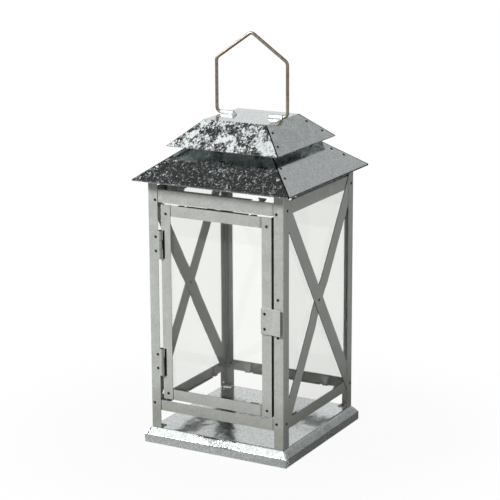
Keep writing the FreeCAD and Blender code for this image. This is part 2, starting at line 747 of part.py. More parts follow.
def make_hinge(level, middle):
    low = middle - hinge_length / 2
    high = middle + hinge_length / 2
    third = hinge_length / 3
    play = knuckle_gap / 2
    bore = Part.makeCylinder(pin_dia / 2 + pin_gap, hinge_length, Vector(hinge_x, hinge_y, low))

    post_y = -half + post_sheet
    post_side = hinge_x - barrel_clear
    post_pieces = [box(post_side - leaf_reach, post_side, post_y, post_y + leaf_sheet, low, high)]
    for z0, z1 in ((low, low + third - play), (high - third + play, high)):
        post_pieces.append(knuckle(z0, z1))
        post_pieces.append(box(post_side, hinge_x, post_y, post_y + leaf_sheet, z0, z1))
    post_leaf = drilled(join(post_pieces).cut(bore), hinge_rivets)

    door_y = door_face + door_sheet
    door_side = hinge_x + barrel_clear
    z0 = low + third + play
    z1 = high - third - play
    door_leaf = join([
        box(door_side, door_side + leaf_reach, door_y, door_y + leaf_sheet, low, high),
        knuckle(z0, z1),
        box(hinge_x, door_side, door_y, door_y + leaf_sheet, z0, z1),
    ]).cut(bore)

    foot = Vector(hinge_x, hinge_y, low - pin_head_height)
    pin = join([
        Part.makeCylinder(pin_dia / 2, hinge_length + 2 * pin_head_height, foot),
        Part.makeCylinder(pin_head_dia / 2, pin_head_height, foot),
        Part.makeCylinder(pin_head_dia / 2, pin_head_height, Vector(hinge_x, hinge_y, high)),
    ])
    prefix = "hinge_" + level + "_"
    return {prefix + "post_leaf": post_leaf, prefix + "door_leaf": door_leaf, prefix + "pin": pin}


def make_catch():
    # Drawn about its own middle height and then lifted into place.
    front = -half + magnet_gap
    back = front + magnet_depth
    magnet = box(catch_x - magnet_width / 2, catch_x + magnet_width / 2, front, back,
                 -magnet_height / 2, magnet_height / 2)
    inside = magnet_height / 2 + magnet_gap
    outside = inside + strap_sheet
    seat = -half + post_sheet
    section = [
        (seat, inside), (back, inside), (back, -inside), (seat, -inside),
        (seat, -strap_half), (seat + strap_sheet, -strap_half), (seat + strap_sheet, -outside),
        (back + strap_sheet, -outside), (back + strap_sheet, outside),
        (seat + strap_sheet, outside), (seat + strap_sheet, strap_half), (seat, strap_half),
    ]
    corners = [Vector(catch_x - strap_width / 2, y, z) for y, z in section]
    strap = prism(corners, Vector(strap_width, 0, 0))
    lift = Vector(0, 0, catch_middle_z)
    return {"catch_magnet": magnet.translated(lift), "catch_strap": drilled(strap.translated(lift), strap_rivets)}


os.makedirs("parts", exist_ok=True)
save("base_tray", make_base())
for make in (make_posts, make_rails, make_braces, make_panes, make_roof, make_cap, make_door, make_catch):
    for node, shape in make().items():
        save(node, shape)
for level, middle in hinge_middles.items():
    for node, shape in make_hinge(level, middle).items():
        save(node, shape)
save("handle_bail", make_handle())

rivet_groups = {
    "frame_rivets": frame_rivets,
    "brace_cross_rivets": cross_rivets,
    "foot_rivets": foot_rivets,
    "roof_eyelets": roof_eyelets,
    "roof_hip_rivets": roof_hip_rivets,
    "cap_hip_rivets": cap_hip_rivets,
    "hinge_rivets": hinge_rivets,
    "catch_rivets": strap_rivets,
    "door_rivets": door_rivets,
    "latch_plate_rivets": plate_rivets,
}
for node, rivets in rivet_groups.items():
    save_rivets(node, rivets)
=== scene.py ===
import bpy
import bmesh
import json
import math
from mathutils import Matrix, Vector


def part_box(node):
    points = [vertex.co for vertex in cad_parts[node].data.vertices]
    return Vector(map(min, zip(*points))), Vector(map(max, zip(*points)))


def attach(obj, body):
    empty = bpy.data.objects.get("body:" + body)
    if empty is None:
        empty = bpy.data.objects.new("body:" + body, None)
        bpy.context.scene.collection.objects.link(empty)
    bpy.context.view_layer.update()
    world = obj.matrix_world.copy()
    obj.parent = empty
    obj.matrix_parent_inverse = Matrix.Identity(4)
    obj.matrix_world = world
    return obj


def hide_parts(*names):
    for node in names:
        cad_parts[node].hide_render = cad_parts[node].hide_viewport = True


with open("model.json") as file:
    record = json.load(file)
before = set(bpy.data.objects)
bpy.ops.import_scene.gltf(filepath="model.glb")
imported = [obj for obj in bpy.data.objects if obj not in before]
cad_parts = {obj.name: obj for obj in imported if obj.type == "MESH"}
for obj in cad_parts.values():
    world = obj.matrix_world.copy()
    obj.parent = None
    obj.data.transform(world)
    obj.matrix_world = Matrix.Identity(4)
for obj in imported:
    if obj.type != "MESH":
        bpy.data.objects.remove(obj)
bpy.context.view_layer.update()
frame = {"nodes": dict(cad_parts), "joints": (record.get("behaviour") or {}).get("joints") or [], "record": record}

nodes = frame["nodes"]
mm = 0.001
hair = 0.01 * mm  # places closer than this count as one
weld = 0.005 * mm  # corners closer than this are joined
print("frame loaded with", len(nodes), "nodes")


# Materials

def linearColour(hexText):
    # sRGB hex to the linear numbers that the shader sockets hold
    parts = [int(hexText[i:i + 2], 16) / 255 for i in (1, 3, 5)]
    return [c / 12.92 if c <= 0.04045 else ((c + 0.055) / 1.055) ** 2.4 for c in parts] + [1.0]


def addNode(tree, kind, settings=None, links=None):
    # links gives each input socket a value or another node's output
    node = tree.nodes.new(kind)
    for name, value in (settings or {}).items():
        setattr(node, name, value)
    for name, value in (links or {}).items():
        if isinstance(value, bpy.types.NodeSocket):
            tree.links.new(value, node.inputs[name])
        else:
            node.inputs[name].default_value = value
    return node


def newMaterial(name):
    material = bpy.data.materials.new(name)
    material.use_nodes = True
    tree = material.node_tree
    shader = tree.nodes["Principled BSDF"]
    place = addNode(tree, "ShaderNodeTexCoord").outputs["Object"]
    return material, tree, shader, place


def addStraightView(tree):
    # 1 for what the camera sees straight or through glass alone, and 0 for light that a surface has turned
    path = addNode(tree, "ShaderNodeLightPath")
    turned = addNode(tree, "ShaderNodeMath", {"operation": "ADD", "use_clamp": True},
                     {0: path.outputs["Glossy Depth"], 1: path.outputs["Diffuse Depth"]})
    through = addNode(tree, "ShaderNodeMath", {"operation": "SUBTRACT", "use_clamp": True},
                      {0: path.outputs["Is Transmission Ray"], 1: turned.outputs[0]})
    straight = addNode(tree, "ShaderNodeMath", {"operation": "MAXIMUM"},
                       {0: path.outputs["Is Camera Ray"], 1: through.outputs[0]})
    return straight.outputs[0], path


def addFacing(tree, across):
    # 1 on the two faces of a flat strip or pane that lies across an axis, and 0 on its edges
    normal = addNode(tree, "ShaderNodeTexCoord").outputs["Normal"]
    part = addNode(tree, "ShaderNodeVectorMath", {"operation": "DOT_PRODUCT"}, {0: normal, 1: across})
    facing = addNode(tree, "ShaderNodeMath", {"operation": "ABSOLUTE"}, {0: part.outputs["Value"]})
    return facing.outputs[0]


def setRamp(node, stops):
    ramp = node.color_ramp
    while len(ramp.elements) < len(stops):
        ramp.elements.new(0.5)
    for element, (at, colour) in zip(ramp.elements, stops):
        element.position = at
        element.color = linearColour(colour)


# Hot-dip galvanised sheet with a spangle. The zinc froze into crystals, some smooth as a mirror and some
# frosted, so near the light frayed patches flash white beside dark ones, and elsewhere the sheet is plain.
# One zone of each sheet differs: the tunnels pressed up from the cap are stretched matt, the roof stays
# smooth where the cap shelters it, and the front bevel of the base is scuffed.
spangles = {  # sizes and places in millimetres, tilts in radians
    "cap": {"patchSize": 13, "fray": 0.66, "swirl": 0.6, "seed": 1.0, "grainSize": 1.3, "grainShare": 0.22,
            "patchFrom": 0.43, "patchTo": 0.57, "roughness": (0.14, 0.50), "grainTilt": 0.020,
            "zoneAlong": "Z", "zoneMiddle": 286, "zoneHalf": 3.25, "zoneFade": 0.45,
            "zoneRoughness": (0.60, 0.60), "flatRoughness": 0.07, "waveSize": 30, "waveTilt": 0.003,
            "lapFrom": -0.5, "lapTo": 1.3},
    "roof": {"patchSize": 7, "fray": 0.72, "swirl": 2.0, "seed": 0.0, "grainSize": 0.95, "grainShare": 0.30,
             "patchFrom": 0.51, "patchTo": 0.70, "roughness": (0.10, 0.50), "grainTilt": 0.015,
             "zoneAlong": "Z", "zoneMiddle": 264, "zoneHalf": 14, "zoneFade": 4,
             "zoneRoughness": (0.10, 0.10), "flatRoughness": 0.2, "waveSize": 25, "waveTilt": 0.008,
             "lapFrom": -0.5, "lapTo": 1.3},
    "base": {"patchSize": 34, "fray": 0.50, "swirl": 0.0, "seed": 9.0, "grainSize": 0.9, "grainShare": 0.28,
             "patchFrom": 0.45, "patchTo": 0.50, "roughness": (0.08, 0.28), "grainTilt": 0.012,
             "zoneAlong": "Y", "zoneMiddle": -67.4, "zoneHalf": 2.5, "zoneFade": 0.3,
             "zoneRoughness": (0.12, 0.84), "flatRoughness": 0.16, "waveSize": 9, "waveTilt": 0.03,
             "lapFrom": 0.0, "lapTo": 0.0},
}
spangleShades = [(0.15, "#B6BDBD"), (0.5, "#CCD1D1"), (0.85, "#DFE3E3")]
lapLine = "#2C3030"
flatFacing = (0.97, 0.995)  # upward part of the normal, from sloping to flat
midGrey = (0.5, 0.5, 0.5)


def makeSpangledZinc(sheet):
    spangle = spangles[sheet]
    material, tree, shader, place = newMaterial(sheet + "SpangledZinc")
    patch = addNode(tree, "ShaderNodeTexNoise", {"noise_dimensions": "4D"},
                    {"Vector": place, "W": spangle["seed"], "Scale": 1 / (spangle["patchSize"] * mm),
                     "Detail": 6.0, "Roughness": spangle["fray"], "Distortion": spangle["swirl"]})
    grain = addNode(tree, "ShaderNodeTexVoronoi", {"feature": "F1"},
                    {"Vector": place, "Scale": 1 / (spangle["grainSize"] * mm)})
    frost = addNode(tree, "ShaderNodeMath", {"operation": "MULTIPLY_ADD"},
                    {0: grain.outputs["Color"], 1: spangle["grainShare"], 2: patch.outputs["Fac"]})
    meanGrain = spangle["grainShare"] / 2
    frost = addNode(tree, "ShaderNodeMapRange", None,
                    {"Value": frost.outputs[0], "From Min": spangle["patchFrom"] + meanGrain,
                     "From Max": spangle["patchTo"] + meanGrain})
    along = addNode(tree, "ShaderNodeSeparateXYZ", None, {"Vector": place}).outputs[spangle["zoneAlong"]]
    apart = addNode(tree, "ShaderNodeMath", {"operation": "SUBTRACT"},
                    {0: along, 1: spangle["zoneMiddle"] * mm})
    apart = addNode(tree, "ShaderNodeMath", {"operation": "ABSOLUTE"}, {0: apart.outputs[0]})
    zone = addNode(tree, "ShaderNodeMapRange", None,
                   {"Value": apart.outputs[0], "From Min": spangle["zoneHalf"] * mm,
                    "From Max": (spangle["zoneHalf"] - spangle["zoneFade"]) * mm})
    smooth, frosted = (addNode(tree, "ShaderNodeMix", {"data_type": "FLOAT"},
                               {0: zone.outputs["Result"], 2: plain, 3: changed}).outputs[0]
                       for plain, changed in zip(spangle["roughness"], spangle["zoneRoughness"]))
    rough = addNode(tree, "ShaderNodeMapRange", None,
                    {"Value": frost.outputs["Result"], "To Min": smooth, "To Max": frosted})
    # faces that lie flat are rubbed smooth
    normal = addNode(tree, "ShaderNodeNewGeometry").outputs["Normal"]
    upward = addNode(tree, "ShaderNodeSeparateXYZ", None, {"Vector": normal}).outputs["Z"]
    flat = addNode(tree, "ShaderNodeMapRange", None,
                   {"Value": upward, "From Min": flatFacing[0], "From Max": flatFacing[1]}).outputs["Result"]
    rough = addNode(tree, "ShaderNodeMix", {"data_type": "FLOAT"},
                    {0: flat, 2: rough.outputs["Result"], 3: spangle["flatRoughness"]})
    tree.links.new(rough.outputs[0], shader.inputs["Roughness"])
    # each grain leans a little, and the thin sheet is never quite flat: a texture's colour says which way
    wave = addNode(tree, "ShaderNodeTexNoise", None,
                   {"Vector": place, "Scale": 1 / (spangle["waveSize"] * mm), "Detail": 1.0})
    lean = addNode(tree, "ShaderNodeMapRange", None,
                   {"Value": flat, "To Min": 2 * spangle["grainTilt"], "To Max": 0.0})
    facing = normal
    for way, reach in ((grain.outputs["Color"], lean.outputs["Result"]),
                       (wave.outputs["Color"], 4 * spangle["waveTilt"])):
        tilt = addNode(tree, "ShaderNodeVectorMath", {"operation": "SUBTRACT"}, {0: way, 1: midGrey})
        tilt = addNode(tree, "ShaderNodeVectorMath", {"operation": "SCALE"},
                       {0: tilt.outputs[0], "Scale": reach})
        facing = addNode(tree, "ShaderNodeVectorMath", {"operation": "ADD"},
                         {0: facing, 1: tilt.outputs[0]}).outputs[0]
    facing = addNode(tree, "ShaderNodeVectorMath", {"operation": "NORMALIZE"}, {0: facing})
    tree.links.new(facing.outputs[0], shader.inputs["Normal"])
    colour = addNode(tree, "ShaderNodeValToRGB", None, {"Fac": grain.outputs["Color"]})
    setRamp(colour, spangleShades)
    # a dark line is painted along the lap at each hip
    corner = addNode(tree, "ShaderNodeVectorMath", {"operation": "ABSOLUTE"}, {0: place})
    corner = addNode(tree, "ShaderNodeSeparateXYZ", None, {"Vector": corner.outputs[0]})
    off = addNode(tree, "ShaderNodeMath", {"operation": "SUBTRACT"},
                  {0: corner.outputs["X"], 1: corner.outputs["Y"]})
    lapMiddle = (spangle["lapFrom"] + spangle["lapTo"]) / 2 * mm
    lapHalf = (spangle["lapTo"] - spangle["lapFrom"]) / 2 * mm
    lap = addNode(tree, "ShaderNodeMath", {"operation": "COMPARE"},
                  {0: off.outputs[0], 1: lapMiddle, 2: lapHalf})
    onLapLine = addNode(tree, "ShaderNodeMath", {"operation": "SUBTRACT", "use_clamp": True},
                    {0: lap.outputs[0], 1: flat})
    colour = addNode(tree, "ShaderNodeMix", {"data_type": "RGBA"},
                     {0: onLapLine.outputs[0], 6: colour.outputs["Color"], 7: linearColour(lapLine)})
    tree.links.new(colour.outputs[2], shader.inputs["Base Color"])
    shader.inputs["Metallic"].default_value = 1.0
    return material


# Galvanised sheet that has gone dull in the air. A thin grey oxide scatters about half of the light, so it
# is even and soft to the eye, with a faint cloud from the crystals below and fine rubbed marks. Painted
# shade makes it a little darker near the ground, a painted shadow of the barrel blackens the hinge leaf and
# stile beside each knuckle, and the sheared edges of the flat strips have no zinc, so they have gone dark.
dull = {  # sizes in millimetres
    "cloudSize": 12, "speckSize": 1.4, "speckShare": 0.65, "cloudRange": (0.3, 0.7),
    "low": "#A4A7A3", "high": "#BEC1BC", "roughness": (0.42, 0.62), "metallic": 0.45,
    "bump": 0.10, "bumpDepth": 0.1,
    "footShade": "#D4D4D0", "footFrom": 20, "footTo": 65, "cutEdge": "#3A3937",
    "greaseReach": 5, "greaseHalf": 12.2,
    "grease": [(0.41, "#FFFFFF"), (0.44, "#1C1C1A"), (0.82, "#1C1C1A"), (0.9, "#FFFFFF")],
}


def makeDullZinc(name, pin=None, levels=(), across=None):
    material, tree, shader, place = newMaterial(name)
    cloud = addNode(tree, "ShaderNodeTexNoise", None,
                    {"Vector": place, "Scale": 1 / (dull["cloudSize"] * mm), "Detail": 4.0,
                     "Roughness": 0.6})
    speck = addNode(tree, "ShaderNodeTexNoise", None,
                    {"Vector": place, "Scale": 1 / (dull["speckSize"] * mm), "Detail": 2.0})
    blend = addNode(tree, "ShaderNodeMix", {"data_type": "FLOAT"},
                    {0: dull["speckShare"], 2: cloud.outputs["Fac"], 3: speck.outputs["Fac"]})
    colour = addNode(tree, "ShaderNodeValToRGB", None, {"Fac": blend.outputs[0]})
    thin, thick = dull["cloudRange"]
    setRamp(colour, [(thin, dull["low"]), (thick, dull["high"])])
    height = addNode(tree, "ShaderNodeSeparateXYZ", None, {"Vector": place}).outputs["Z"]
    # painted shade: the colour darkens towards the ground
    foot = addNode(tree, "ShaderNodeMapRange", {"interpolation_type": "SMOOTHSTEP"},
                   {"Value": height, "From Min": dull["footFrom"] * mm, "From Max": dull["footTo"] * mm,
                    "To Min": 1.0, "To Max": 0.0})
    colour = addNode(tree, "ShaderNodeMix", {"data_type": "RGBA", "blend_type": "MULTIPLY"},
                     {0: foot.outputs["Result"], 6: colour.outputs["Color"],
                      7: linearColour(dull["footShade"])})
    # painted shadow of the hinge barrel: the leaf and stile go black beside each knuckle, within reach of the pin
    if pin:
        out = addNode(tree, "ShaderNodeVectorMath", {"operation": "SUBTRACT"}, {0: place, 1: pin})
        out = addNode(tree, "ShaderNodeVectorMath", {"operation": "MULTIPLY"},
                      {0: out.outputs[0], 1: (1, 1, 0)})
        out = addNode(tree, "ShaderNodeVectorMath", {"operation": "LENGTH"}, {0: out.outputs[0]})
        share = addNode(tree, "ShaderNodeMath", {"operation": "DIVIDE"},
                        {0: out.outputs["Value"], 1: dull["greaseReach"] * mm})
        grease = addNode(tree, "ShaderNodeValToRGB", None, {"Fac": share.outputs[0]})
        setRamp(grease, dull["grease"])
        beside = 0.0
        for level in levels:
            near = addNode(tree, "ShaderNodeMath", {"operation": "COMPARE"},
                           {0: height, 1: level, 2: dull["greaseHalf"] * mm})
            beside = addNode(tree, "ShaderNodeMath", {"operation": "MAXIMUM"},
                             {0: near.outputs[0], 1: beside}).outputs[0]
        colour = addNode(tree, "ShaderNodeMix", {"data_type": "RGBA", "blend_type": "MULTIPLY"},
                         {0: beside, 6: colour.outputs[2], 7: grease.outputs["Color"]})
    if across:
        colour = addNode(tree, "ShaderNodeMix", {"data_type": "RGBA"},
                         {0: addFacing(tree, across), 6: linearColour(dull["cutEdge"]),
                          7: colour.outputs[2]})
    tree.links.new(colour.outputs[2], shader.inputs["Base Color"])
    rough = addNode(tree, "ShaderNodeMapRange", None,
                    {"Value": blend.outputs[0], "From Min": thin, "From Max": thick,
                     "To Min": dull["roughness"][0], "To Max": dull["roughness"][1]})
    tree.links.new(rough.outputs["Result"], shader.inputs["Roughness"])
    bump = addNode(tree, "ShaderNodeBump", None,
                   {"Height": speck.outputs["Fac"], "Strength": dull["bump"],
                    "Distance": dull["bumpDepth"] * mm})
    tree.links.new(bump.outputs["Normal"], shader.inputs["Normal"])
    shader.inputs["Metallic"].default_value = dull["metallic"]
    return material


# Drawn steel wire. The die leaves it smooth, and it has browned in small clouds, so it shows a clear light
# core between dark edges.
wireFinish = {"low": "#8A7F72", "high": "#A2978A", "spotSize": 2.5, "roughness": (0.42, 0.52)}
# Mild steel rivets, set cold and left to darken. The heads are dull and brown-black with small worn spots.
rivetFinish = {"low": "#1E1E1C", "high": "#46453F", "spotSize": 0.6, "roughness": (0.4, 0.6)}
# Nickel-plated eyelets, rolled over and bright.
eyeletFinish = {"low": "#B4B4AF", "high": "#DADAD4", "spotSize": 0.8, "roughness": (0.35, 0.5)}
# Sintered ferrite, matt black with a fine grain.
ferriteFinish = {"low": "#26262A", "high": "#3A3A3E", "spotSize": 0.5, "roughness": (0.7, 0.85)}
spotRange = (0.35, 0.65)  # of the noise, from the low shade to the high one


def makeSpotted(name, finish, metallic):
    material, tree, shader, place = newMaterial(name)
    spots = addNode(tree, "ShaderNodeTexNoise", None,
                    {"Vector": place, "Scale": 1 / (finish["spotSize"] * mm), "Detail": 3.0})
    colour = addNode(tree, "ShaderNodeValToRGB", None, {"Fac": spots.outputs["Fac"]})
    setRamp(colour, [(spotRange[0], finish["low"]), (spotRange[1], finish["high"])])
    tree.links.new(colour.outputs["Color"], shader.inputs["Base Color"])
    rough = addNode(tree, "ShaderNodeMapRange", None,
                    {"Value": spots.outputs["Fac"], "To Min": finish["roughness"][0],
                     "To Max": finish["roughness"][1]})
    tree.links.new(rough.outputs["Result"], shader.inputs["Roughness"])
    shader.inputs["Metallic"].default_value = metallic
    return material


# Float glass, 2 mm thick and flat on both faces, with a trace of green from its iron. The cut edges are
# ground, so they scatter and show as dull dark green.
glassFinish = {"tint": "#FEFFFD", "edge": "#8A968F", "smearSize": 30, "roughness": (0.0, 0.02),
               "edgeRoughness": 0.6, "ior": 1.5}


def makeFloatGlass(name, across):
    material, tree, shader, place = newMaterial(name)
    smear = addNode(tree, "ShaderNodeTexNoise", None,
                    {"Vector": place, "Scale": 1 / (glassFinish["smearSize"] * mm), "Detail": 2.0})
    rough = addNode(tree, "ShaderNodeMapRange", None,
                    {"Value": smear.outputs["Fac"], "To Min": glassFinish["roughness"][0],
                     "To Max": glassFinish["roughness"][1]})
    clear = addFacing(tree, across)
    rough = addNode(tree, "ShaderNodeMix", {"data_type": "FLOAT"},
                    {0: clear, 2: glassFinish["edgeRoughness"], 3: rough.outputs["Result"]})
    colour = addNode(tree, "ShaderNodeMix", {"data_type": "RGBA"},
                     {0: clear, 6: linearColour(glassFinish["edge"]), 7: linearColour(glassFinish["tint"])})
    tree.links.new(rough.outputs[0], shader.inputs["Roughness"])
    tree.links.new(colour.outputs[2], shader.inputs["Base Color"])
    tree.links.new(clear, shader.inputs["Transmission Weight"])
    shader.inputs["IOR"].default_value = glassFinish["ior"]
    return material


doorPin, handlePivot = (next(j for j in frame["joints"] if j["name"] == name)["pos_m"]
                        for name in ("door_hinge", "handle_pivot"))
doorLeaves = ("hinge_lower_door_leaf", "hinge_upper_door_leaf")
hingeLevels = [sum(corner[2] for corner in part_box(leaf)) / 2 for leaf in doorLeaves]
finishes = {
    "cap": makeSpangledZinc("cap"), "roof": makeSpangledZinc("roof"), "base": makeSpangledZinc("base"),
    "galvanised_sheet": makeDullZinc("dullZinc"),
    "sideStrip": makeDullZinc("sideStripDullZinc", across=(1, 0, 0)),
    "frontStrip": makeDullZinc("frontStripDullZinc", across=(0, 1, 0)),
    "hingeLeaf": makeDullZinc("greasyDullZinc", doorPin, hingeLevels),
    "steel_wire": makeSpotted("drawnSteelWire", wireFinish, 1.0),
    "rivet_steel": makeSpotted("darkenedRivetSteel", rivetFinish, 1.0),
    "bright_eyelet": makeSpotted("nickelEyelet", eyeletFinish, 1.0),
    "ferrite": makeSpotted("sinteredFerrite", ferriteFinish, 0.0),
    "sideGlass": makeFloatGlass("sideFloatGlass", (1, 0, 0)),
    "frontGlass": makeFloatGlass("frontFloatGlass", (0, 1, 0)),
}
for row in frame["record"]["subparts"]:
    mesh = nodes[row["node"]].data
    mesh.materials.clear()
    finish = row["material_slot"]
    if finish == "spangled_sheet":
        finish = row["node"].split("_")[0]
    elif finish == "window_glass":
        finish = "sideGlass" if row["node"] in ("glass_right", "glass_left") else "frontGlass"
    elif row["node"] == "door_stile_hinge_side":
        finish = "hingeLeaf"
    elif finish == "galvanised_sheet" and row["node"].startswith("brace_"):
        finish = "sideStrip"
    elif row["node"] in ("door_stile_latch_side", "door_rail_top", "door_rail_bottom"):
        finish = "frontStrip"
    mesh.materials.append(finishes[finish])
print("materials made:", len(finishes))


# Modelled pieces, with sizes in millimetres and angles in degrees

def startPiece(name):
    # the primitive that was just added, with its place moved into its mesh
    piece = bpy.context.object
    piece.name = name
    bpy.ops.object.transform_apply(location=True, rotation=True, scale=True)
    bpy.ops.object.mode_set(mode="EDIT")
    return piece


def pick(kind, rule):
    # selects the faces, edges or verts of the piece in edit mode whose middle fits a rule
    mesh = bpy.context.object.data
    form = bmesh.from_edit_mesh(mesh)
    bpy.ops.mesh.select_all(action="DESELECT")
    bpy.ops.mesh.select_mode(type={"faces": "FACE", "edges": "EDGE", "verts": "VERT"}[kind])
    for part in getattr(form, kind):
        corners = [part.co] if kind == "verts" else [v.co for v in part.verts]
        if rule(sum(corners, Vector()) / len(corners), part):
            part.select_set(True)
    form.select_flush_mode()
    bmesh.update_edit_mesh(mesh)


def applyModifier(piece, kind, **settings):
    modifier = piece.modifiers.new(kind.title(), kind)
    for name, value in settings.items():
        setattr(modifier, name, value)
    bpy.ops.object.modifier_apply(modifier=modifier.name)


smoothAngle = 35  # faces that meet at less than this are shaded as one


def endPiece(piece, body, slot, replaced, finish=None):
    bpy.ops.object.mode_set(mode="OBJECT")
    bpy.ops.object.shade_smooth_by_angle(angle=math.radians(smoothAngle))
    # broad faces stay flat beside their rounded edges
    applyModifier(piece, "WEIGHTED_NORMAL", keep_sharp=True)
    piece.data.materials.clear()
    piece.data.materials.append(finishes[finish or slot])
    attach(piece, body)
    if replaced:
        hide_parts(*replaced)
    piece.select_set(False)


def focus(piece):
    bpy.ops.object.select_all(action="DESELECT")
    bpy.context.view_layer.objects.active = piece
    piece.select_set(True)


def copyPiece(piece, name, move):
    made = piece.copy()
    made.data = piece.data.copy()
    made.name = name
    bpy.context.collection.objects.link(made)
    made.data.transform(move)
    return made


def closeMesh():
    bpy.ops.mesh.select_all(action="SELECT")
    bpy.ops.mesh.remove_doubles(threshold=weld)
    bpy.ops.mesh.normals_make_consistent(inside=False)


# The handle is one length of wire, bent at its feet, shoulders and peak.
handle = {"wire": 2.8, "tip": 18.6, "leg": 34.2, "shoulder": 46.6, "peak": 70.39,
          "footBend": 4.2, "shoulderBend": 5.0, "peakBend": 4.5, "sides": 24, "bendSteps": 10}


def makeHandle():
    pivot = Vector(handlePivot)
    half = [(handle["tip"], 0, 0), (handle["leg"], 0, handle["footBend"]),
            (handle["leg"], handle["shoulder"], handle["shoulderBend"])]
    route = half + [(0, handle["peak"], handle["peakBend"])] + [(-x, z, r) for x, z, r in reversed(half)]
    points = [pivot + Vector((x * mm, 0, z * mm)) for x, z, r in route]
    bends = [r * mm for x, z, r in route]
    bpy.ops.object.select_all(action="DESELECT")
    bpy.ops.mesh.primitive_circle_add(vertices=handle["sides"], radius=handle["wire"] / 2 * mm,
                                      location=points[0], rotation=(0, math.pi / 2, 0))
    piece = startPiece("handleWire")
    bpy.ops.mesh.select_all(action="SELECT")
    at = points[0]
    for before, corner, after, bend in zip(points, points[1:], points[2:], bends[1:]):
        arrive = (corner - before).normalized()
        leave = (after - corner).normalized()
        turn = arrive.angle(leave)
        setback = bend * math.tan(turn / 2)
        start = corner - arrive * setback
        bpy.ops.mesh.extrude_edges_move(TRANSFORM_OT_translate={"value": start - at})
        inward = (leave - arrive).normalized()
        centre = corner + inward * (bend / math.cos(turn / 2))
        bpy.ops.mesh.spin(steps=handle["bendSteps"], angle=turn, center=centre,
                          axis=leave.cross(arrive).normalized())
        at = corner + leave * setback
    bpy.ops.mesh.extrude_edges_move(TRANSFORM_OT_translate={"value": points[-1] - at})
    for end in (points[0], points[-1]):
        pick("edges", lambda c, e: e.is_boundary and (c - end).length < handle["wire"] * mm)
        bpy.ops.mesh.edge_face_add()
    closeMesh()
    endPiece(piece, "handle", "steel_wire", ["handle_bail"])


# The base is a square of sheet with its four sides folded down, its corners slit and its rim hemmed under.
# At the front left the bevel's slit runs a little way round the corner, where the left side laps the front.
base = {"topHalf": 65.2, "skirt": 7.5, "hem": 5.0, "sheet": 0.6, "seam": 1.1, "lap": 3.3,
        "lapBelow": 0.2, "topFold": 1.8, "skirtFold": 0.3, "rimFold": 0.7, "foldSteps": 4}


def makeBase():
    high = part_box("base_tray")[1]
    half, height = high[0], high[2]
    topHalf, skirt = base["topHalf"] * mm, base["skirt"] * mm
    bpy.ops.object.select_all(action="DESELECT")
    bpy.ops.mesh.primitive_plane_add(size=2 * topHalf, location=(0, 0, height))
    piece = startPiece("baseTray")
    across = topHalf
    for wide, z in ((half, skirt), (half, 0.0), (half - base["hem"] * mm, 0.0)):
        pick("edges", lambda c, e: e.is_boundary)
        bpy.ops.mesh.extrude_edges_move(TRANSFORM_OT_translate={"value": (0, 0, 0)})
        level = min(v.co.z for v in bmesh.from_edit_mesh(piece.data).verts)
        grow = wide / across
        bpy.ops.transform.resize(value=(grow, grow, 1), center_override=(0, 0, 0))
        bpy.ops.transform.translate(value=(0, 0, z - level))
        across = wide
    folds = ((height, topHalf, "topFold"), (skirt, half, "skirtFold"), (0.0, half, "rimFold"))
    for z, wide, fold in folds:
        pick("edges", lambda c, e: abs(c.z - z) < hair and abs(max(abs(c.x), abs(c.y)) - wide) < hair
             and min(abs(c.x), abs(c.y)) < wide / 2)
        bpy.ops.mesh.bevel(offset=base[fold] * mm, segments=base["foldSteps"], affect="EDGES")
    top = height - hair

    def onMitre(c, spread):
        # along a corner, apart from the bevel at the front left
        lapped = c.x < 0 and c.y < 0 and c.z > skirt - base["lapBelow"] * mm
        return abs(abs(c.x) - abs(c.y)) < spread and c.z < top and not lapped

    pick("edges", lambda c, e: onMitre(c, hair)
         and abs(e.verts[0].co.x - e.verts[1].co.x) + abs(e.verts[0].co.z - e.verts[1].co.z) > hair)
    bpy.ops.mesh.bevel(offset=base["seam"] / 2 * mm, segments=1, affect="EDGES")
    pick("faces", lambda c, f: onMitre(c, 3 * hair))
    bpy.ops.mesh.delete(type="FACE")
    corner = Vector((-topHalf, -topHalf, height))
    slit = Vector((base["lap"] * mm - half, -half, skirt)) - corner
    across = slit.cross(Vector((0, skirt - height, half - topHalf))).normalized()
    forward, sideways = -0.3, 0.1  # limits of a normal on the front bevel
    for side in (-0.5, 0.5):
        pick("faces", lambda c, f: f.normal.y < forward and abs(f.normal.x) < sideways and c.z > skirt)
        bpy.ops.mesh.bisect(plane_co=corner + side * base["seam"] * mm * across, plane_no=across)
    pick("faces", lambda c, f: f.normal.y < forward and c.z > skirt and c.x < 0
         and abs((c - corner).dot(across)) < base["seam"] / 2 * mm)
    bpy.ops.mesh.delete(type="FACE")
    closeMesh()
    bpy.ops.object.mode_set(mode="OBJECT")
    applyModifier(piece, "SOLIDIFY", thickness=base["sheet"] * mm, offset=-1.0, use_even_offset=True)
    endPiece(piece, "lantern", "spangled_sheet", ["base_tray"], "base")


# The latch plate is a sheared tab of thicker sheet with its corners knocked off and its edges rubbed round.
# Its free end is sprung a little off the post, for a fingertip.
plate = {"corner": 0.4, "cornerSteps": 5, "edge": 0.15, "edgeSteps": 3, "sharp": 60,
         "bendPast": 1.0, "lift": 1.0}


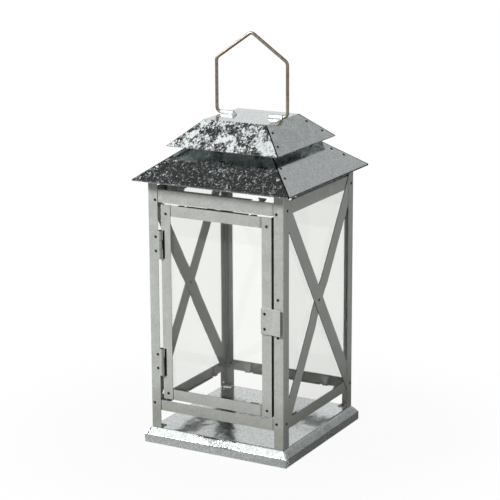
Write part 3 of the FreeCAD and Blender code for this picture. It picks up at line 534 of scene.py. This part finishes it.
def makeLatchPlate():
    low, high = (Vector(corner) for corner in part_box("latch_plate"))
    bpy.ops.object.select_all(action="DESELECT")
    bpy.ops.mesh.primitive_cube_add(size=1, location=(low + high) / 2, scale=high - low)
    piece = startPiece("latchPlate")
    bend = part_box("door_stile_latch_side")[1][0] + plate["bendPast"] * mm
    bpy.ops.mesh.select_all(action="SELECT")
    bpy.ops.mesh.bisect(plane_co=(bend, 0, 0), plane_no=(1, 0, 0))
    pick("verts", lambda c, v: c.x > high.x - hair)
    bpy.ops.transform.translate(value=(0, -plate["lift"] * mm, 0))
    thick = high.y - low.y
    pick("edges", lambda c, e: abs(e.calc_length() - thick) < hair)
    bpy.ops.mesh.bevel(offset=plate["corner"] * mm, segments=plate["cornerSteps"], affect="EDGES")
    pick("edges", lambda c, e: e.calc_face_angle(0) > math.radians(plate["sharp"]))
    bpy.ops.mesh.bevel(offset=plate["edge"] * mm, segments=plate["edgeSteps"], affect="EDGES")
    closeMesh()
    endPiece(piece, "door", "galvanised_sheet", ["latch_plate"])


# Rivets, eyelets and hinge pins keep their places, with their rims hammered round.
fastener = {"rims": {"_rivets": 0.28, "_eyelets": 0.45, "_pin": 0.22}, "rimSteps": 3,
            "sharp": 50, "flat": 3}


def makeFasteners():
    slots = {row["node"]: row["material_slot"] for row in frame["record"]["subparts"]}
    for body, members in frame["record"]["behaviour"]["bodies"].items():
        for name in members:
            radius = next((r for ending, r in fastener["rims"].items() if name.endswith(ending)), None)
            if radius is None:
                continue
            first, *others = name.split("_")
            pieceName = first + "".join(word.title() for word in others)
            piece = bpy.data.objects.new(pieceName, nodes[name].data.copy())
            bpy.context.collection.objects.link(piece)
            focus(piece)
            bpy.ops.object.mode_set(mode="EDIT")
            closeMesh()
            bpy.ops.mesh.dissolve_limited(angle_limit=math.radians(fastener["flat"]))
            bpy.ops.object.mode_set(mode="OBJECT")
            applyModifier(piece, "BEVEL", width=radius * mm, segments=fastener["rimSteps"],
                          limit_method="ANGLE", angle_limit=math.radians(fastener["sharp"]))
            endPiece(piece, body, slots[name], [name])


# Each hinge leaf is a strip of sheet, with its knuckles rolled round the pin.
hinge = {"sheet": 0.8, "knuckleGap": 0.2, "roll": 300, "rollSteps": 20, "clear": 0.12, "doorSeat": 1.4}


def makeHinges():
    axis = Vector(doorPin)
    leaves = (("post", "lantern", (True, False, True)), ("door", "door", (False, True, False)))
    for leaf, body, rolls in leaves:
        low, high = (Vector(corner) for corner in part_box("hinge_lower_" + leaf + "_leaf"))
        radius = axis.y - low.y
        away = -1 if leaf == "post" else 1  # the way from the pin to the leaf's free edge
        free = low.x if leaf == "post" else high.x
        near = axis.x + away * (radius + hinge["clear"] * mm)
        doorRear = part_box("door_stile_hinge_side")[0][1] + hinge["doorSeat"] * mm
        rear = high.y if leaf == "post" else doorRear
        third = (high.z - low.z) / 3
        play = hinge["knuckleGap"] / 2 * mm
        bpy.ops.object.select_all(action="DESELECT")
        bpy.ops.mesh.primitive_plane_add(size=1, location=((free + near) / 2, rear, (low.z + high.z) / 2),
                                         rotation=(-math.pi / 2, 0, 0))
        bpy.context.object.scale = (abs(near - free), high.z - low.z, 1)
        piece = startPiece("hingeLower" + leaf.title() + "Leaf")
        cuts = (low.z + third - play, low.z + third + play, high.z - third - play, high.z - third + play)
        for z in cuts:
            bpy.ops.mesh.select_all(action="SELECT")
            bpy.ops.mesh.bisect(plane_co=(0, 0, z), plane_no=(0, 0, 1))
        spans = ((low.z, cuts[0]), (cuts[1], cuts[2]), (cuts[3], high.z))
        kept = [span for span, rolled in zip(spans, rolls) if rolled]
        pick("edges", lambda c, e: abs(c.x - near) < hair and any(a < c.z < b for a, b in kept))
        touch = away * math.sqrt(max(radius ** 2 - (rear - axis.y) ** 2, 0.0))
        bpy.ops.mesh.extrude_edges_move(TRANSFORM_OT_translate={"value": (axis.x + touch - near, 0, 0)})
        bpy.ops.mesh.spin(steps=hinge["rollSteps"], angle=math.radians(hinge["roll"]), center=axis,
                          axis=(0, 0, -away))
        faces = bmesh.from_edit_mesh(piece.data).faces
        flat = min(faces, key=lambda f: abs(f.calc_center_median().x - free))
        bpy.ops.mesh.select_all(action="SELECT")
        bpy.ops.mesh.remove_doubles(threshold=weld)
        if flat.normal.y < 0:
            bpy.ops.mesh.flip_normals()
        bpy.ops.object.mode_set(mode="OBJECT")
        applyModifier(piece, "SOLIDIFY", thickness=hinge["sheet"] * mm, offset=-1.0)
        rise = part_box("hinge_upper_" + leaf + "_leaf")[0][2] - low.z
        upper = copyPiece(piece, "hingeUpper" + leaf.title() + "Leaf", Matrix.Translation((0, 0, rise)))
        for made, level in ((piece, "lower"), (upper, "upper")):
            focus(made)
            endPiece(made, body, "galvanised_sheet", ["hinge_" + level + "_" + leaf + "_leaf"],
                     "hingeLeaf" if leaf == "door" else None)


# The eaves of the roof are hemmed, with the last strip of the sheet folded under.
hem = {"width": 3.2, "drop": 0.9, "fold": 0.3, "foldSteps": 3, "slope": 36.6}


def makeHems():
    low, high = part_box("roof_right")
    eave, width, drop = high[0], hem["width"] * mm, hem["drop"] * mm
    slope = math.radians(hem["slope"])
    bpy.ops.object.select_all(action="DESELECT")
    middle = (eave - width / 2, 0, low[2] + width / 2 * math.tan(slope))
    bpy.ops.mesh.primitive_plane_add(size=1, location=middle, rotation=(0, slope, 0))
    bpy.context.object.scale = (width / math.cos(slope), 2 * eave, 1)
    piece = startPiece("roofRightHem")
    pick("verts", lambda c, v: c.x < eave - width / 2)
    bpy.ops.transform.resize(value=(1, (eave - width) / eave, 1), center_override=(0, 0, 0))
    bpy.ops.mesh.select_all(action="SELECT")
    bpy.ops.mesh.extrude_region_move(TRANSFORM_OT_translate={"value": (0, 0, -drop)})
    closeMesh()
    pick("edges", lambda c, e: c.x > eave - hair and c.z < low[2] - drop / 2 and e.calc_length() > eave)
    bpy.ops.mesh.bevel(offset=hem["fold"] * mm, segments=hem["foldSteps"], affect="EDGES")
    bpy.ops.object.mode_set(mode="OBJECT")
    made = [piece]
    for side, turn in (("Rear", 90), ("Left", 180), ("Front", 270)):
        made.append(copyPiece(piece, "roof" + side + "Hem", Matrix.Rotation(math.radians(turn), 4, "Z")))
    for strip in made:
        focus(strip)
        endPiece(strip, "lantern", "spangled_sheet", None, "roof")


makeHandle()
makeBase()
makeLatchPlate()
makeFasteners()
makeHinges()
makeHems()
print("pieces modelled")


# Floor, world and lamps
stage = {"half": 0.7, "colour": "#8E8E8C", "roughness": 0.9, "rim": 0.0695,  # lengths in metres
         "glow": 0.95, "fadeFrom": 0.10, "fadeTo": 0.30,
         "toKey": (-0.79, -0.62, 0), "poolFrom": -0.05, "poolTo": 0.06, "poolLit": 0.32, "poolDim": 0.03}


def makeFloor():
    bpy.ops.object.select_all(action="DESELECT")
    bpy.ops.mesh.primitive_plane_add(size=2 * stage["half"], location=(0, 0, 0))
    floor = bpy.context.object
    floor.name = "studioFloor"
    material, tree, shader, place = newMaterial("whitePaperFloor")
    shader.inputs["Base Color"].default_value = linearColour(stage["colour"])
    shader.inputs["Roughness"].default_value = stage["roughness"]
    seen, path = addStraightView(tree)
    # metal sees a painted pool of light in front on the left, and painted shade on the ground behind on the right
    toKey = addNode(tree, "ShaderNodeVectorMath", {"operation": "DOT_PRODUCT"},
                    {0: place, 1: stage["toKey"]})
    paintedPool = addNode(tree, "ShaderNodeMapRange", {"interpolation_type": "SMOOTHSTEP"},
                   {"Value": toKey.outputs["Value"], "From Min": stage["poolFrom"],
                    "From Max": stage["poolTo"], "To Min": stage["poolDim"], "To Max": stage["poolLit"]})
    seen = addNode(tree, "ShaderNodeMath", {"operation": "MULTIPLY_ADD", "use_clamp": True},
                   {0: path.outputs["Is Glossy Ray"], 1: paintedPool.outputs["Result"], 2: seen}).outputs[0]
    away = addNode(tree, "ShaderNodeVectorMath", {"operation": "LENGTH"}, {0: place}).outputs["Value"]
    fade = addNode(tree, "ShaderNodeMapRange", {"interpolation_type": "SMOOTHSTEP"},
                   {"Value": away, "From Min": stage["fadeFrom"], "From Max": stage["fadeTo"],
                    "To Min": stage["glow"], "To Max": 1.0})
    share = addNode(tree, "ShaderNodeMath", {"operation": "MULTIPLY"}, {0: seen, 1: fade.outputs["Result"]})
    # the ground inside the base's rim stays dark
    spot = addNode(tree, "ShaderNodeVectorMath", {"operation": "ABSOLUTE"}, {0: place})
    spot = addNode(tree, "ShaderNodeSeparateXYZ", None, {"Vector": spot.outputs[0]})
    spot = addNode(tree, "ShaderNodeMath", {"operation": "MAXIMUM"},
                   {0: spot.outputs["X"], 1: spot.outputs["Y"]})
    outside = addNode(tree, "ShaderNodeMath", {"operation": "GREATER_THAN"},
                      {0: spot.outputs[0], 1: stage["rim"]})
    share = addNode(tree, "ShaderNodeMath", {"operation": "MULTIPLY"},
                    {0: share.outputs[0], 1: outside.outputs[0]})
    white = addNode(tree, "ShaderNodeEmission", None, {"Strength": 1.0})
    mix = addNode(tree, "ShaderNodeMixShader", None,
                  {0: share.outputs[0], 1: shader.outputs["BSDF"], 2: white.outputs["Emission"]})
    tree.links.new(mix.outputs[0], tree.nodes["Material Output"].inputs["Surface"])
    floor.data.materials.append(material)


# The room is dim, with a lit backdrop behind on the left and pale walls at the right and in front.
room = {"dim": 0.065, "cards": [
    {"to": (-0.20, 0.89, 0.43), "inner": 27, "outer": 50, "level": 0.47},
    {"to": (-0.50, 0.83, 0.20), "inner": 10, "outer": 30, "level": 0.33},
    {"to": (0.93, -0.25, 0.25), "inner": 30, "outer": 65, "level": 0.88},
    {"to": (-0.10, -0.95, 0.05), "inner": 25, "outer": 65, "level": 0.11},
]}


def makeWorld():
    world = bpy.data.worlds.new("studioRoom")
    world.use_nodes = True
    tree = world.node_tree
    tree.nodes.clear()
    direction = addNode(tree, "ShaderNodeTexCoord").outputs["Generated"]
    light = room["dim"]
    for card in room["cards"]:
        facing = addNode(tree, "ShaderNodeVectorMath", {"operation": "DOT_PRODUCT"},
                         {0: direction, 1: Vector(card["to"]).normalized()}).outputs["Value"]
        soft = addNode(tree, "ShaderNodeMapRange", {"interpolation_type": "SMOOTHSTEP"},
                       {"Value": facing, "From Min": math.cos(math.radians(card["outer"])),
                        "From Max": math.cos(math.radians(card["inner"])), "To Max": card["level"]})
        light = addNode(tree, "ShaderNodeMath", {"operation": "ADD"},
                        {0: light, 1: soft.outputs["Result"]}).outputs[0]
    seen = addStraightView(tree)[0]
    level = addNode(tree, "ShaderNodeMix", {"data_type": "FLOAT"}, {0: seen, 2: light, 3: 1.0})
    sky = addNode(tree, "ShaderNodeBackground", None, {"Color": (1, 1, 1, 1), "Strength": level.outputs[0]})
    addNode(tree, "ShaderNodeOutputWorld", None, {"Surface": sky.outputs[0]})
    bpy.context.scene.world = world


# The key is a softbox up on the left, a little in front.
lamps = {  # lengths in metres, power in watts
    "key": {"from": (-0.66, -0.52, 0.55), "aim": (0, 0, 0.15), "distance": 4.0, "size": 1.05, "power": 268},
}


def makeLamps():
    for name, lamp in lamps.items():
        way = Vector(lamp["from"]).normalized()
        bpy.ops.object.light_add(type="AREA", location=Vector(lamp["aim"]) + way * lamp["distance"],
                                 rotation=way.to_track_quat("Z", "Y").to_euler())
        light = bpy.context.object
        light.name = name + "Lamp"
        light.data.shape = "DISK"
        light.data.size = lamp["size"]
        light.data.energy = lamp["power"]


makeFloor()
makeWorld()
makeLamps()
bpy.context.scene.view_settings.view_transform = "Standard"
print("floor, world and lamps set")

# Camera at the photograph's viewing angle, in degrees and metres
view = {"azimuth": 29.019, "elevation": 14.598, "roll": -0.296, "distance": 1.5874,
        "target": (-0.00256, 0, 0.1649), "lens": 131.85, "sensor": 36}


def makeCamera():
    azimuth, elevation, roll = (math.radians(view[k]) for k in ("azimuth", "elevation", "roll"))
    away = Vector((math.sin(azimuth) * math.cos(elevation), -math.cos(azimuth) * math.cos(elevation),
                   math.sin(elevation)))
    bpy.ops.object.camera_add(location=Vector(view["target"]) + view["distance"] * away)
    camera = bpy.context.object
    turn = Matrix.Rotation(azimuth, 3, "Z") @ Matrix.Rotation(math.pi / 2 - elevation, 3, "X")
    camera.rotation_euler = (turn @ Matrix.Rotation(roll, 3, "Z")).to_euler()
    camera.data.lens = view["lens"]
    camera.data.sensor_width = view["sensor"]
    bpy.context.scene.camera = camera


makeCamera()
print("camera set")
